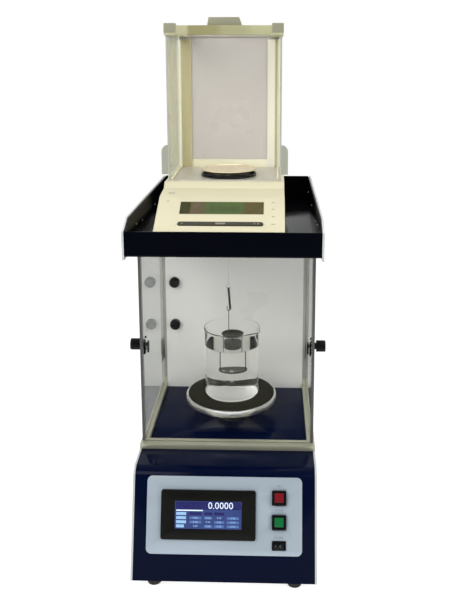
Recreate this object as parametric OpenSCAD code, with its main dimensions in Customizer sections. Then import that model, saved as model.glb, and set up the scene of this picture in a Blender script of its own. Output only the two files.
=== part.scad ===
// Benchtop density meter: a base with a motor-driven beaker stage, a clear
// weighing cabinet above it, and a tray that carries an analytical balance.
// The specimen hanger hangs from the balance through the tray floor into the beaker.
// Origin: centre of the footprint on the bench. +X right, +Y to the back, +Z up. Millimetres.

/* [Base] */
// Width over the side panels of the base
body_w = 317; // [310:1:325]
// Height of the rubber feet
foot_h = 18; // [12:1:20]
// Diameter of the rubber feet
foot_d = 27; // [20:1:32]
// Distance from the origin to the front edge of the base
front_reach = 266; // [262:1:270]
// Distance from the origin to the rear face
rear_reach = 263; // [260:1:268]
// Height of the base's flat top above the bench
base_top = 194; // [190:1:198]
// Backward tilt of the front of the base, in degrees
front_tilt = 18; // [16:0.5:20]
// Radius of the bend between the tilted front and the top
bend_r = 20; // [14:1:26]
// Thickness of the sheet metal covers
sheet_t = 2.5; // [1.5:0.1:3]
// Thickness of the side panels
side_t = 3.5; // [3:0.1:4]

/* [Control panel] */
// Width of the silver control panel
panel_w = 266; // [262:1:272]
// Height of the silver control panel along the slope
panel_h = 128.5; // [126:0.5:132]
// Distance from the lower edge of the base to the panel along the slope
panel_s = 45; // [42:0.5:46]
// Thickness of the control panel
panel_t = 2; // [1.5:0.1:2.5]
// Width of the display bezel
bezel_w = 162; // [158:1:166]
// Height of the display bezel along the slope
bezel_h = 81.5; // [80:0.5:84]
// Sideways place of the display
bezel_x = -27; // [-30:1:-24]
// Width of the display glass
screen_w = 114; // [108:1:120]
// Height of the display glass
screen_h = 45.5; // [42:0.5:50]
// Sideways place of the column of switches
switch_x = 93.7; // [92:0.1:98]
// Side of the square push button bezels
button_bezel = 24.5; // [23:0.5:26]
// Side of the square push button caps
button_cap = 18; // [16:0.5:19]
// Travel of the push buttons
button_travel = 2.5; // [1.5:0.1:3]
// Half of the angle through which the power rocker tips
rocker_tilt = 7; // [5:0.5:8]

/* [Beaker stage] */
// Diameter of the polished stage disc
stage_d = 176; // [170:1:180]
// Diameter of the black mat on the disc
mat_d = 168.4; // [160:0.2:169]
// Thickness of the stage disc
stage_t = 12.5; // [10:0.5:14]
// Height of the mat's upper face, where the beaker stands
stage_top = 243.5; // [240:0.5:246]
// Diameter of the stage shaft
shaft_d = 30; // [26:1:34]
// Outer diameter of the beaker
beaker_d = 105; // [100:1:108]
// Height of the beaker
beaker_h = 134; // [130:1:140]

/* [Weighing cabinet] */
// Distance from the origin to the front of the cabinet
cabinet_front = 130; // [128:1:132]
// Distance from the origin to the inner face of the back wall
cabinet_back = 129; // [126:1:132]
// How far the bottom front rail stands out in front of the window
rail_proud = 12; // [8:1:14]
// Height of the cabinet's bottom rails
rail_h = 9; // [8:0.5:10]
// Width of the cabinet's bottom rails
rail_w = 14; // [13:0.5:15]
// Thickness of the clear panels
pane_t = 5; // [4:0.5:5]
// Height of the door knobs above the bench
latch_z = 380; // [370:1:390]
// Diameter of the door knobs
latch_d = 20.5; // [18:0.5:22]

/* [Balance tray] */
// Width over the tray's side plates
tray_w = 326.5; // [324:0.5:328]
// Distance from the origin to the front of the tray
tray_front_reach = 225; // [223:1:227]
// Height of the tray floor's upper face above the bench
tray_floor_top = 577.5; // [576:0.5:579]
// Height of the top of the front lip above the bench
lip_top = 617; // [614:1:620]
// Height of the top of the side and back walls above the bench
tray_top = 633; // [630:1:636]

/* [Balance] */
// Sideways place of the middle of the balance
balance_x = -7; // [-9:0.5:-5]
// Sideways place of the pan, the hook and the hanger
weigh_x = -2.5; // [-4:0.5:0]
// Width of the balance
balance_w = 214; // [212:1:215]
// Height of the weighing chamber floor above the bench
chamber_floor_z = 675; // [674:0.5:676]
// Height of the top of the chamber frame above the bench
chamber_top = 946; // [940:1:950]
// Diameter of the weighing pan
pan_d = 102.5; // [90:0.5:104]
// Height of the weighing pan's upper face above the bench
pan_top = 688.5; // [687:0.5:690]

/* [Hidden] */
$fn = 64;
eps = 0.5; // how far a cutting tool runs past a face

// Base
body_x = body_w / 2;
cover_x = body_x - side_t;
pan_t = 3;
bend_steps = 18; // flats that make the bend of the front
bend_y = -front_reach + bend_rise() * sin(front_tilt) + bend_r * cos(front_tilt);
seam_y = -cabinet_front + rail_w / 2;
rear_panel_t = 2.5;
rear_in = rear_reach - rear_panel_t;
foot_x = 121;
foot_y = [-240, 232];
foot_pin_d = 5;

// Cut-outs of the front, centre [x, s] along the slope, width and height
bezel_s = panel_s + panel_h / 2 + 1.6;
red_s = panel_s + 95.4;
green_s = panel_s + 55.4;
rocker_s = panel_s + 17;
display_cut = [bezel_w - 12, bezel_h - 12];
display_depth = 28;
barrel_d = 20;
barrel_h = 22;
bezel_rise = 5.5; // height of the button bezels over the panel
well_floor = 0.5;
cap_base = well_floor + button_travel + 0.3;
cap_t = 4.2;
stem_d = 12;
stem_h = 18;
fit = 0.05; // radial running clearance
rocker_box = [20.8, 13.4];
rocker_frame_size = [24, 15.5];
rocker_well = [19.6, 12.4];
rocker_size = [18, 11.6];
rocker_depth = 16;

// Mains inlet in the rear panel
inlet_x = 100;
inlet_z = 56;
inlet_size = [28, 22];

// Stage lift
mat_t = 1;
disc_top = stage_top - mat_t;
disc_bottom = disc_top - stage_t;
lift_x = 62;
guide_x = [-48, 104];
guide_y = 30;
guide_d = 10;
screw_d = 10;
lift_low_z = 62;
lift_plate_t = 6;
lift_high_z = base_top - sheet_t - lift_plate_t;
carriage_z = 116;
carriage_t = 12;
motor_w = 42;
motor_h = 38;
coupling_h = 12;
bush_d = 40;
bush_flange_d = 56;
beaker_x = 1.5;
beaker_wall = 2.5;

// Cabinet
frame_z = base_top;
pane_z = frame_z + rail_h;
tray_floor_t = 3;
tray_bottom = tray_floor_top - tray_floor_t;
top_rail_h = 9;
pane_top = tray_bottom - top_rail_h;
post_w = 5.5;
post_d = 13.5;
post_x = body_x - rail_w;
groove = 4;
door_gap = 0.6;
door_out = body_x - 3;
door_in = door_out - pane_t;
door_front = -cabinet_front + 0.5;
door_rear = cabinet_back + post_d - 0.5;
latch_y = -104;
latch_hole_d = 6.1;
spindle_d = 6;
cam_x = door_in - 7.5;
cam_t = 3;
cam_len = 14;
hinge_x = door_out + 3.9;
hinge_y = door_rear + 1;
hinge_pin_d = 3;
hinge_barrel_d = 7;
hinge_z = [258, 506];
hinge_len = 36;
knuckle_h = hinge_len / 3; // three knuckles, the middle one on the door
knuckle_gap = 0.3;
column_x = post_x + post_w;
column_t = 2;
column_front = cabinet_back + post_d;
wall_knob_x = -125.0;
wall_knob_z = [336.1, 428.1];
wall_knob_d = 21.5;
wall_t = 3;

// Tray
tray_x = tray_w / 2;
plate_t = 3.5;
tray_in = tray_x - plate_t;
lip_t = 3;
wall_sheet = 2.5;
slope_end = -184.5;
plate_low = tray_bottom - 5.5;
hook_hole_d = 30;

// Balance, in its own side view of [y, z] points
half_b = balance_w / 2;
shell_t = 2.5;
split_z = 601;
balance_feet_h = 11;
console_front = [-214, 615];
console_end = [-126, 659.3];
shelf_end = [-80, 663.6];
step_end = [-69.3, chamber_floor_z - 2];
balance_rear = 134;
console_angle = atan2(console_end[1] - console_front[1], console_end[0] - console_front[0]);
chamber_front = -58;
chamber_rear = 108;
glass_t = 3;
side_glass_in = 98.6;
rear_frame_t = 14;
rear_frame_half = 98;
rear_window_half = 75;
rear_window_low = 690;
frame_low = 929.5;
window_size = [140.5, 33];
window_s = 64;
window_dx = 1.5;
key_size = [140, 9];
key_s = 20.8;
key_dx = 1.3;
key_travel = 1;
stem_dia = 6;
top_glass_z = chamber_top - 5;
handle_z = 684;
handle_h = 53;
pan_plate_t = 2;

// Hanger, heights above the bench and offsets from the weighing axis
hook_top_z = 640;
hook_z = 566;
hook_r = 5;
hook_wire = 2.4;
eye_r = 3.6;
eye_wire = 1.2;
eye_z = hook_z - hook_r + hook_wire / 2 + 0.3 - eye_r + eye_wire / 2;
rod_top = [-1.9, 455.6];
rod_bottom = [1.2, 413.4];
rod_hook_r = 3;
rod_hook_wire = 1.4;
stem_x = rod_bottom[0] - rod_hook_r;
loop_r = 1.8;
loop_z = rod_bottom[1] - rod_hook_r + rod_hook_wire / 2 + 0.02 - loop_r + eye_wire / 2;
dish_z = 362;
block_z = 346.5;
lower_dish_z = 294;
basket_x = 5.5;

// Height from the lower front edge to the start of the bend, along the slope
function bend_rise() = (base_top - bend_r * (1 - sin(front_tilt)) - foot_h) / cos(front_tilt);

// Extrudes a [y, z] section along X from x0 to x1
module along_x(x0, x1) {
    translate([x0, 0, 0])
        rotate([90, 0, 90])
            linear_extrude(x1 - x0)
                children();
}

// A block between two opposite corners
module block(low, high) {
    translate(low)
        cube(high - low);
}

// The same shape on the left and on the right
module both_sides() {
    children();
    mirror([1, 0, 0])
        children();
}

// A flat plate with round corners, centred, from z 0 to t
module rounded_plate(size, t, r) {
    linear_extrude(t)
        rounded_rect(size, r);
}

module rounded_rect(size, r) {
    square([size[0] - 2 * r, size[1]], center = true);
    square([size[0], size[1] - 2 * r], center = true);
    for (x = [-1, 1])
        for (y = [-1, 1])
            translate([x * (size[0] / 2 - r), y * (size[1] / 2 - r)])
                circle(r);
}

// Places a shape on the tilted front: x sideways, s up the slope, z out of it
module on_front(x, s) {
    translate([0, -front_reach, foot_h])
        rotate([90 - front_tilt, 0, 0])
            translate([x, s, 0])
                children();
}

// Places a shape on the balance console: x from the middle of the balance, s up the slope
module on_console(x, s) {
    translate([balance_x, console_front[0], console_front[1]])
        rotate([console_angle, 0, 0])
            translate([x, s, 0])
                children();
}

// Filled [y, z] section of the base, drawn in by t from the front and the top
module base_section(t, y1, low) {
    r = bend_r - t;
    c = [bend_y, base_top - bend_r];
    turn = 90 - front_tilt;
    angles = [for (i = [0:bend_steps]) 90 + turn * (1 - i / bend_steps)];
    bend = [for (a = angles) c + r * [cos(a), sin(a)]];
    rise = (bend[0][1] - low) / cos(front_tilt);
    foot = bend[0] - rise * [sin(front_tilt), cos(front_tilt)];
    polygon(concat([foot], bend, [[y1, base_top - t], [y1, low]]));
}

// The switch and display holes, cut through whatever lies on the front
module front_cuts() {
    cut_low = -display_depth;
    cut_h = display_depth + 10;
    on_front(bezel_x, bezel_s)
        translate([0, 0, cut_low + cut_h / 2])
            cube([display_cut[0] + 1, display_cut[1] + 1, cut_h], center = true);
    for (s = [red_s, green_s])
        on_front(switch_x, s)
            translate([0, 0, cut_low])
                cylinder(d = barrel_d + 0.4, h = cut_h);
    on_front(switch_x, rocker_s)
        translate([0, 0, cut_low + cut_h / 2])
            cube([rocker_box[0] + 0.4, rocker_box[1] + 0.4, cut_h], center = true);
}

// ---- Base ----

module base_pan() {
    color("dimgray")
        difference() {
            block([-cover_x, -front_reach + sheet_t + 1.3, foot_h], [cover_x, rear_in, foot_h + pan_t]);
            for (x = [-1, 1])
                for (y = foot_y)
                    translate([x * foot_x, y, foot_h - eps])
                        cylinder(d = foot_pin_d, h = pan_t + 2 * eps);
            for (i = [0:5])
                translate([-40 + i * 16, 150, foot_h - eps])
                    cube([6, 60, pan_t + 2 * eps]);
        }
}

module front_cover() {
    color("midnightblue")
        difference() {
            along_x(-cover_x, cover_x)
                difference() {
                    base_section(0, seam_y, foot_h);
                    base_section(sheet_t, seam_y + eps, foot_h - eps);
                }
            front_cuts();
        }
}

module top_plate() {
    color("midnightblue")
        difference() {
            block([-cover_x, seam_y, base_top - sheet_t], [cover_x, rear_in, base_top]);
            translate([0, 0, base_top - sheet_t - eps])
                cylinder(d = bush_d + 0.4, h = sheet_t + 2 * eps);
        }
}

module side_panel() {
    along_x(cover_x, body_x)
        base_section(0, rear_reach, foot_h);
}

module left_side_panel() {
    color("gainsboro")
        mirror([1, 0, 0])
            side_panel();
}

module right_side_panel() {
    color("gainsboro")
        side_panel();
}

module rear_panel() {
    color("midnightblue")
        difference() {
            block([-cover_x, rear_in, foot_h], [cover_x, rear_reach, base_top]);
            translate([inlet_x, rear_in, inlet_z])
                cube([inlet_size[0] + 0.4, 10, inlet_size[1] + 0.4], center = true);
            for (i = [0:9])
                translate([-110 + i * 9, rear_in - eps, 60])
                    cube([4, rear_panel_t + 2 * eps, 70]);
        }
}

module rubber_feet() {
    color("black")
        for (x = [-1, 1])
            for (y = foot_y)
                translate([x * foot_x, y, 0]) {
                    difference() {
                        cylinder(d1 = foot_d - 3, d2 = foot_d, h = foot_h);
                        translate([0, 0, -eps])
                            cylinder(d = 10, h = foot_h / 2 + eps);
                    }
                    translate([0, 0, foot_h])
                        cylinder(d = foot_pin_d, h = pan_t);
                }
}

module control_panel() {
    color("lightsteelblue")
        difference() {
            on_front(0, panel_s + panel_h / 2)
                rounded_plate([panel_w, panel_h], panel_t, 9);
            front_cuts();
        }
}

module display_unit() {
    color([0.06, 0.06, 0.07])
        on_front(bezel_x, bezel_s)
            difference() {
                union() {
                    translate([0, 0, panel_t])
                        rounded_plate([bezel_w, bezel_h], 5, 4);
                    translate([0, 0, panel_t - display_depth / 2])
                        cube([display_cut[0], display_cut[1], display_depth], center = true);
                }
                translate([0, 0, panel_t + 5])
                    cube([screen_w, screen_h, 3.2], center = true);
            }
}

module display_glass() {
    color("steelblue")
        on_front(bezel_x, bezel_s)
            translate([0, 0, panel_t + 4])
                cube([screen_w, screen_h, 1.2], center = true);
}

module switch_bezels() {
    color("black") {
        for (s = [red_s, green_s])
            on_front(switch_x, s)
                difference() {
                    union() {
                        translate([0, 0, panel_t])
                            rounded_plate([button_bezel, button_bezel], bezel_rise, 2);
                        translate([0, 0, panel_t - barrel_h])
                            cylinder(d = barrel_d, h = barrel_h);
                    }
                    translate([0, 0, panel_t + well_floor])
                        linear_extrude(bezel_rise)
                            square(button_cap + 0.6, center = true);
                    translate([0, 0, panel_t - barrel_h + 1.5])
                        cylinder(d = stem_d + 2 * fit, h = barrel_h);
                }
        on_front(switch_x, rocker_s)
            difference() {
                union() {
                    translate([0, 0, panel_t])
                        rounded_plate(rocker_frame_size, 2, 1.5);
                    translate([0, 0, panel_t - rocker_depth / 2])
                        cube([rocker_box[0], rocker_box[1], rocker_depth], center = true);
                }
                translate([0, 0, panel_t])
                    cube([rocker_well[0], rocker_well[1], 22], center = true);
                translate([0, 0, panel_t - 3])
                    rotate([90, 0, 0])
                        cylinder(d = 2 + 2 * fit, h = rocker_box[1] + 2, center = true);
            }
    }
}

// A square button cap on its round stem, at rest with its face proud of the bezel
module push_button(s) {
    on_front(switch_x, s)
        translate([0, 0, panel_t + cap_base]) {
            rounded_plate([button_cap, button_cap], cap_t, 1.5);
            translate([0, 0, -stem_h])
                cylinder(d = stem_d, h = stem_h);
        }
}

module red_button() {
    color("firebrick")
        push_button(red_s);
}

module green_button() {
    color("seagreen")
        push_button(green_s);
}

module power_rocker() {
    color([0.12, 0.12, 0.12])
        on_front(switch_x, rocker_s)
            translate([0, 0, panel_t - 3])
                rotate([0, -rocker_tilt, 0]) {
                    rotate([90, 0, 0])
                        cylinder(d = 2, h = rocker_box[1] - 0.2, center = true);
                    rotate([90, 0, 0])
                        linear_extrude(rocker_size[1], center = true)
                            polygon([
                                [-rocker_size[0] / 2, 5], [-rocker_size[0] / 2 + 1, 7], [0, 5.6],
                                [rocker_size[0] / 2 - 1, 7], [rocker_size[0] / 2, 5],
                                [rocker_size[0] / 2 - 3, -2], [2.5, -4], [-2.5, -4],
                                [-rocker_size[0] / 2 + 3, -2]
                            ]);
                }
}

module control_board() {
    color("darkgreen") {
        block([-140, 60, foot_h + 15], [-30, 200, foot_h + 17]);
        for (x = [-134, -36])
            for (y = [66, 194])
                translate([x, y, foot_h + pan_t])
                    cylinder(d = 6, h = 12);
        block([-120, 90, foot_h + 17], [-80, 120, foot_h + 29]);
        block([-120, 150, foot_h + 17], [-60, 180, foot_h + 23]);
        for (i = [0:2])
            translate([-52, 90 + i * 18, foot_h + 17])
                cylinder(d = 10, h = 20);
    }
}

module power_supply() {
    color("silver")
        block([20, 120, foot_h + pan_t], [72, 240, foot_h + 43]);
}

module mains_inlet() {
    color([0.08, 0.08, 0.08])
        translate([inlet_x, rear_reach, inlet_z])
            rotate([-90, 0, 0]) {
                difference() {
                    union() {
                        rounded_plate([48, 26], 3, 3);
                        translate([0, 0, -12])
                            cube([inlet_size[0], inlet_size[1], 24], center = true);
                    }
                    translate([0, 0, -6])
                        cube([24, 17, 20], center = true);
                }
                for (p = [[-7, 4], [7, 4], [0, -2]])
                    translate([p[0], p[1], -10])
                        cube([2, 4, 16], center = true);
            }
}

// ---- Beaker stage and its lift ----

module lift_plates() {
    low = [-78, -42, 0];
    size = [204, 84, lift_plate_t];
    color("slategray") {
        difference() {
            translate(low + [0, 0, lift_low_z])
                cube(size);
            translate([lift_x, 0, lift_low_z - eps])
                cylinder(d = 22.4, h = lift_plate_t + 2 * eps);
        }
        for (x = [-74, 118])
            for (y = [-36, 36])
                translate([x, y, foot_h + pan_t])
                    cylinder(d = 8, h = lift_low_z - foot_h - pan_t);
        difference() {
            translate(low + [0, 0, lift_high_z])
                cube(size);
            translate([0, 0, lift_high_z - eps])
                cylinder(d = bush_d, h = lift_plate_t + 2 * eps);
            translate([lift_x, 0, lift_high_z - eps])
                cylinder(d = screw_d + 2 * fit, h = lift_plate_t + 2 * eps);
        }
    }
}

module guide_rods() {
    color("gainsboro")
        for (x = guide_x)
            translate([x, guide_y, lift_low_z + lift_plate_t])
                cylinder(d = guide_d, h = lift_high_z - lift_low_z - lift_plate_t);
}

module lift_motor() {
    color([0.2, 0.2, 0.22])
        translate([lift_x, 0, lift_low_z - motor_h])
            difference() {
                union() {
                    translate([-motor_w / 2, -motor_w / 2, 0])
                        cube([motor_w, motor_w, motor_h]);
                    translate([0, 0, motor_h])
                        cylinder(d = 22, h = 2);
                }
                translate([0, 0, motor_h - 20])
                    cylinder(d = 5 + 2 * fit, h = 30);
            }
}

module lead_screw() {
    color("silver")
        translate([lift_x, 0, 0]) {
            translate([0, 0, lift_low_z - 16])
                cylinder(d = 5, h = 20);
            translate([0, 0, lift_low_z + 3])
                cylinder(d = 18, h = coupling_h);
            translate([0, 0, lift_low_z + 3 + coupling_h])
                cylinder(d = screw_d, h = lift_high_z + lift_plate_t - lift_low_z - coupling_h - 4);
        }
}

module lift_carriage() {
    color("darkgray")
        difference() {
            union() {
                block([-66, -24, carriage_z - carriage_t], [120, 46, carriage_z]);
                for (x = guide_x)
                    translate([x, guide_y, carriage_z - carriage_t - 8])
                        cylinder(d = 19, h = carriage_t + 16);
                translate([lift_x, 0, carriage_z])
                    cylinder(d = 22, h = 10);
            }
            for (x = guide_x)
                translate([x, guide_y, carriage_z - 40])
                    cylinder(d = guide_d + 2 * fit, h = 80);
            translate([lift_x, 0, carriage_z - 40])
                cylinder(d = screw_d + 2 * fit, h = 80);
        }
}

module stage_shaft() {
    color("silver") {
        translate([0, 0, carriage_z])
            cylinder(d = shaft_d, h = disc_bottom - carriage_z - 5);
        translate([0, 0, disc_bottom - 5])
            cylinder(d = 60, h = 5);
    }
}

module shaft_bush() {
    color([0.15, 0.15, 0.17])
        difference() {
            union() {
                translate([0, 0, lift_high_z])
                    cylinder(d = bush_d, h = base_top - lift_high_z);
                translate([0, 0, base_top])
                    cylinder(d1 = bush_flange_d, d2 = bush_flange_d - 4, h = 4);
            }
            translate([0, 0, lift_high_z - eps])
                cylinder(d = shaft_d + 2 * fit, h = 40);
        }
}

module stage_disc() {
    bevel = 1;
    color("silver")
        rotate_extrude($fn = 128)
            polygon([
                [0, disc_bottom], [stage_d / 2 - bevel, disc_bottom], [stage_d / 2, disc_bottom + bevel],
                [stage_d / 2, disc_top - bevel], [stage_d / 2 - bevel, disc_top], [0, disc_top]
            ]);
}

module stage_mat() {
    color([0.07, 0.07, 0.07])
        translate([0, 0, disc_top])
            cylinder(d = mat_d, h = mat_t, $fn = 128);
}

// Glass wall of the beaker with its heavier bottom and flared rim
module beaker() {
    r = beaker_d / 2;
    color([0.85, 0.93, 0.95, 0.4])
        translate([beaker_x, 0, stage_top])
            rotate_extrude($fn = 96)
                polygon([
                    [0, 0], [r - 5, 0], [r - 1.5, 1.5], [r, 5], [r, beaker_h - 4], [r + 1.8, beaker_h],
                    [r - 0.8, beaker_h], [r - beaker_wall, beaker_h - 4], [r - beaker_wall, 7],
                    [r - 6, 3.4], [0, 3.4]
                ]);
}

// ---- Weighing cabinet ----

module cabinet_frame() {
    color("darkkhaki") {
        difference() {
            block([-body_x, -cabinet_front - rail_proud, frame_z], [body_x, -cabinet_front + rail_w, pane_z]);
            window_block();
        }
        both_sides() {
            block([post_x, -cabinet_front + rail_w, frame_z], [body_x, column_front, pane_z]);
            block([post_x, cabinet_back, pane_z], [column_x, column_front, pane_top]);
            block([post_x, -cabinet_front + rail_w, pane_top], [body_x, column_front, tray_bottom]);
        }
        difference() {
            block([-body_x, -cabinet_front, pane_top], [body_x, -cabinet_front + rail_w, tray_bottom]);
            window_block();
        }
    }
}

// The space that the front window fills, its rail grooves included
module window_block() {
    y = -cabinet_front + 1;
    block([-door_in + 0.5, y, pane_z - groove], [door_in - 0.5, y + pane_t, pane_top + groove]);
}

module front_window() {
    color([0.8, 0.85, 0.88, 0.3])
        window_block();
}

module back_wall() {
    color("lightgray")
        difference() {
            block([-post_x, cabinet_back, frame_z], [post_x, cabinet_back + wall_t, tray_bottom]);
            for (z = wall_knob_z)
                translate([wall_knob_x, cabinet_back - eps, z])
                    rotate([-90, 0, 0])
                        cylinder(d = 5, h = wall_t + 2 * eps);
        }
}

// The right door; the left one is its mirror image
module door_pane() {
    difference() {
        block([door_in, door_front, pane_z + door_gap], [door_out, door_rear, pane_top - door_gap]);
        translate([door_in - eps, latch_y, latch_z])
            rotate([0, 90, 0])
                cylinder(d = latch_hole_d, h = pane_t + 2 * eps);
    }
}

module left_door() {
    color([0.8, 0.85, 0.88, 0.3])
        mirror([1, 0, 0])
            door_pane();
}

module right_door() {
    color([0.8, 0.85, 0.88, 0.3])
        door_pane();
}

// Hinge halves on the column, their pins, and the strikes behind which the latches turn
module fixed_door_hardware() {
    color([0.1, 0.1, 0.1])
        both_sides() {
            for (z = hinge_z)
                translate([0, 0, z]) {
                    block([column_x, hinge_y + 4, 0], [hinge_x + 1, hinge_y + 24, hinge_len]);
                    for (k = [0, 2])
                        translate([0, 0, k * knuckle_h]) {
                            translate([hinge_x, hinge_y, 0])
                                cylinder(d = hinge_barrel_d, h = knuckle_h);
                            block([hinge_x - 1, hinge_y, 0], [hinge_x + 1, hinge_y + 5, knuckle_h]);
                        }
                    translate([hinge_x, hinge_y, 0])
                        cylinder(d = hinge_pin_d, h = hinge_len);
                }
            block(
                [door_in - 3.8, -cabinet_front + 1 + pane_t, latch_z - 11],
                [door_in - 0.8, latch_y - cam_len + 5, latch_z + 11]
            );
        }
}

module door_hinge_leaves() {
    for (z = hinge_z)
        translate([0, 0, z])
            difference() {
                union() {
                    block([door_out, door_rear - 26, 0], [door_out + 2, door_rear - 5, hinge_len]);
                    block(
                        [door_out, door_rear - 6, knuckle_h + knuckle_gap],
                        [door_out + 2, hinge_y, 2 * knuckle_h - knuckle_gap]
                    );
                    translate([hinge_x, hinge_y, knuckle_h + knuckle_gap])
                        cylinder(d = hinge_barrel_d, h = knuckle_h - 2 * knuckle_gap);
                }
                translate([hinge_x, hinge_y, -eps])
                    cylinder(d = hinge_pin_d + 2 * fit, h = hinge_len + 2 * eps);
            }
}

module left_door_hinges() {
    color([0.1, 0.1, 0.1])
        mirror([1, 0, 0])
            door_hinge_leaves();
}

module right_door_hinges() {
    color([0.1, 0.1, 0.1])
        door_hinge_leaves();
}

// Fluted knob outside the door, spindle through it and cam behind it, cam hanging down
module latch_knob() {
    flutes = 12;
    translate([0, latch_y, latch_z])
        rotate([0, 90, 0]) {
            difference() {
                translate([0, 0, door_out + 4])
                    cylinder(d = latch_d, h = 16.5);
                for (i = [0:flutes - 1])
                    rotate(i * 360 / flutes)
                        translate([latch_d / 2 + 0.6, 0, door_out + 4 - eps])
                            cylinder(d = 3.4, h = 14);
            }
            translate([0, 0, door_out + 0.3])
                cylinder(d = 12, h = 4);
            translate([0, 0, cam_x])
                cylinder(d = spindle_d, h = door_out - cam_x + 2);
            translate([-spindle_d, -4, cam_x])
                cube([cam_len + spindle_d, 8, cam_t]);
        }
}

module left_latch_knob() {
    color("black")
        mirror([1, 0, 0])
            latch_knob();
}

module right_latch_knob() {
    color("black")
        latch_knob();
}

module wall_knobs() {
    color("black")
        for (z = wall_knob_z)
            translate([wall_knob_x, cabinet_back, z])
                rotate([90, 0, 0]) {
                    cylinder(d = wall_knob_d, h = 9);
                    translate([0, 0, 9])
                        cylinder(d1 = wall_knob_d, d2 = wall_knob_d - 3, h = 1.5);
                    translate([0, 0, -wall_t - 6])
                        cylinder(d = 5, h = wall_t + 6);
                    translate([0, 0, -wall_t - 4])
                        cylinder(d = 9, h = 4, $fn = 6);
                }
}

module column_shell() {
    color("midnightblue") {
        both_sides()
            block([column_x - column_t, column_front, base_top], [column_x, rear_in, tray_bottom]);
        block([-column_x, rear_in, base_top], [column_x, rear_reach, tray_bottom]);
    }
}

// ---- Tray ----

module tray_pan() {
    wall_top = tray_top - 1.5;
    color([0.03, 0.03, 0.05]) {
        difference() {
            block([-tray_in, -tray_front_reach + lip_t, tray_bottom], [tray_in, rear_reach, tray_floor_top]);
            translate([weigh_x, 0, tray_bottom - eps])
                cylinder(d = hook_hole_d, h = tray_floor_t + 2 * eps);
        }
        both_sides()
            along_x(tray_in - wall_sheet, tray_in)
                polygon([
                    [-tray_front_reach + lip_t, tray_floor_top], [rear_reach, tray_floor_top],
                    [rear_reach, wall_top], [slope_end, wall_top], [-tray_front_reach + lip_t, lip_top - 1]
                ]);
        block(
            [-tray_in + wall_sheet, rear_reach - wall_sheet, tray_floor_top],
            [tray_in - wall_sheet, rear_reach, tray_top]
        );
    }
}

module tray_front() {
    color("midnightblue")
        block([-tray_in, -tray_front_reach, tray_floor_top], [tray_in, -tray_front_reach + lip_t, lip_top]);
}

module tray_side_plates() {
    color("ghostwhite")
        both_sides()
            along_x(tray_in, tray_x)
                polygon([
                    [-tray_front_reach, plate_low], [rear_reach, plate_low], [rear_reach, tray_top],
                    [slope_end, tray_top], [-tray_front_reach, lip_top]
                ]);
}

// ---- Balance ----

// Filled [y, z] side view of the balance cover, drawn in by t
module cover_section(t) {
    f = [t, -t * 0.6];
    polygon([
        [console_front[0] + t, split_z - (t > 0 ? eps : 0)], console_front + f, console_end + f,
        shelf_end + f, step_end + f, [balance_rear - t, chamber_floor_z - 2 - t],
        [balance_rear - t, split_z - (t > 0 ? eps : 0)]
    ]);
}

module balance_base() {
    color("ivory") {
        difference() {
            block(
                [balance_x - half_b, console_front[0] + 1, tray_floor_top + balance_feet_h],
                [balance_x + half_b, balance_rear, split_z]
            );
            block(
                [balance_x - half_b + shell_t, console_front[0] + 4, tray_floor_top + balance_feet_h + 3],
                [balance_x + half_b - shell_t, balance_rear - shell_t, split_z + eps]
            );
            translate([weigh_x, 0, tray_floor_top])
                cylinder(d = 16, h = 30);
        }
        for (x = [-88, 88])
            for (y = [-190, 110])
                translate([balance_x + x, y, tray_floor_top])
                    cylinder(d = 28, h = balance_feet_h);
    }
}

module balance_cover() {
    color("ivory")
        difference() {
            translate([balance_x, 0, 0])
                difference() {
                    along_x(-half_b, half_b)
                        cover_section(0);
                    along_x(-half_b + shell_t, half_b - shell_t)
                        cover_section(shell_t);
                }
            on_console(window_dx, window_s)
                translate([0, 0, -3])
                    cube([window_size[0] + 0.2, window_size[1] + 0.2, 12], center = true);
            on_console(key_dx, key_s)
                translate([0, 0, -8])
                    rounded_plate([key_size[0] + 0.8, key_size[1] + 0.8], 12, key_size[1] / 2 + 0.3);
            translate([weigh_x, 0, chamber_floor_z - 10])
                cylinder(d = 24, h = 20);
        }
}

module balance_display() {
    color("darkolivegreen")
        on_console(window_dx, window_s)
            translate([0, 0, -3.2])
                rounded_plate(window_size, 2.6, 1);
}

module balance_key_bar() {
    color([0.25, 0.24, 0.22])
        on_console(key_dx, key_s)
            translate([0, 0, -3])
                rounded_plate(key_size, 4, key_size[1] / 2 - 0.05);
}

module chamber_floor() {
    color("silver")
        difference() {
            block(
                [balance_x - side_glass_in + 0.6, chamber_front + glass_t, chamber_floor_z - 2],
                [balance_x + side_glass_in - 0.6, chamber_rear, chamber_floor_z]
            );
            translate([weigh_x, 0, chamber_floor_z - 4])
                cylinder(d = 12, h = 8);
        }
}

module chamber_rear_frame() {
    color("ivory")
        translate([balance_x, 0, 0])
            difference() {
                block(
                    [-rear_frame_half, chamber_rear, chamber_floor_z - 2],
                    [rear_frame_half, chamber_rear + rear_frame_t, chamber_top - 8]
                );
                block(
                    [-rear_window_half, chamber_rear - eps, rear_window_low],
                    [rear_window_half, chamber_rear + rear_frame_t + eps, frame_low]
                );
            }
}

module chamber_back_panel() {
    color([0.77, 0.74, 0.73])
        translate([balance_x, 0, 0])
            block(
                [-rear_window_half, chamber_rear + 4, rear_window_low],
                [rear_window_half, chamber_rear + 7, frame_low]
            );
}

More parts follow.
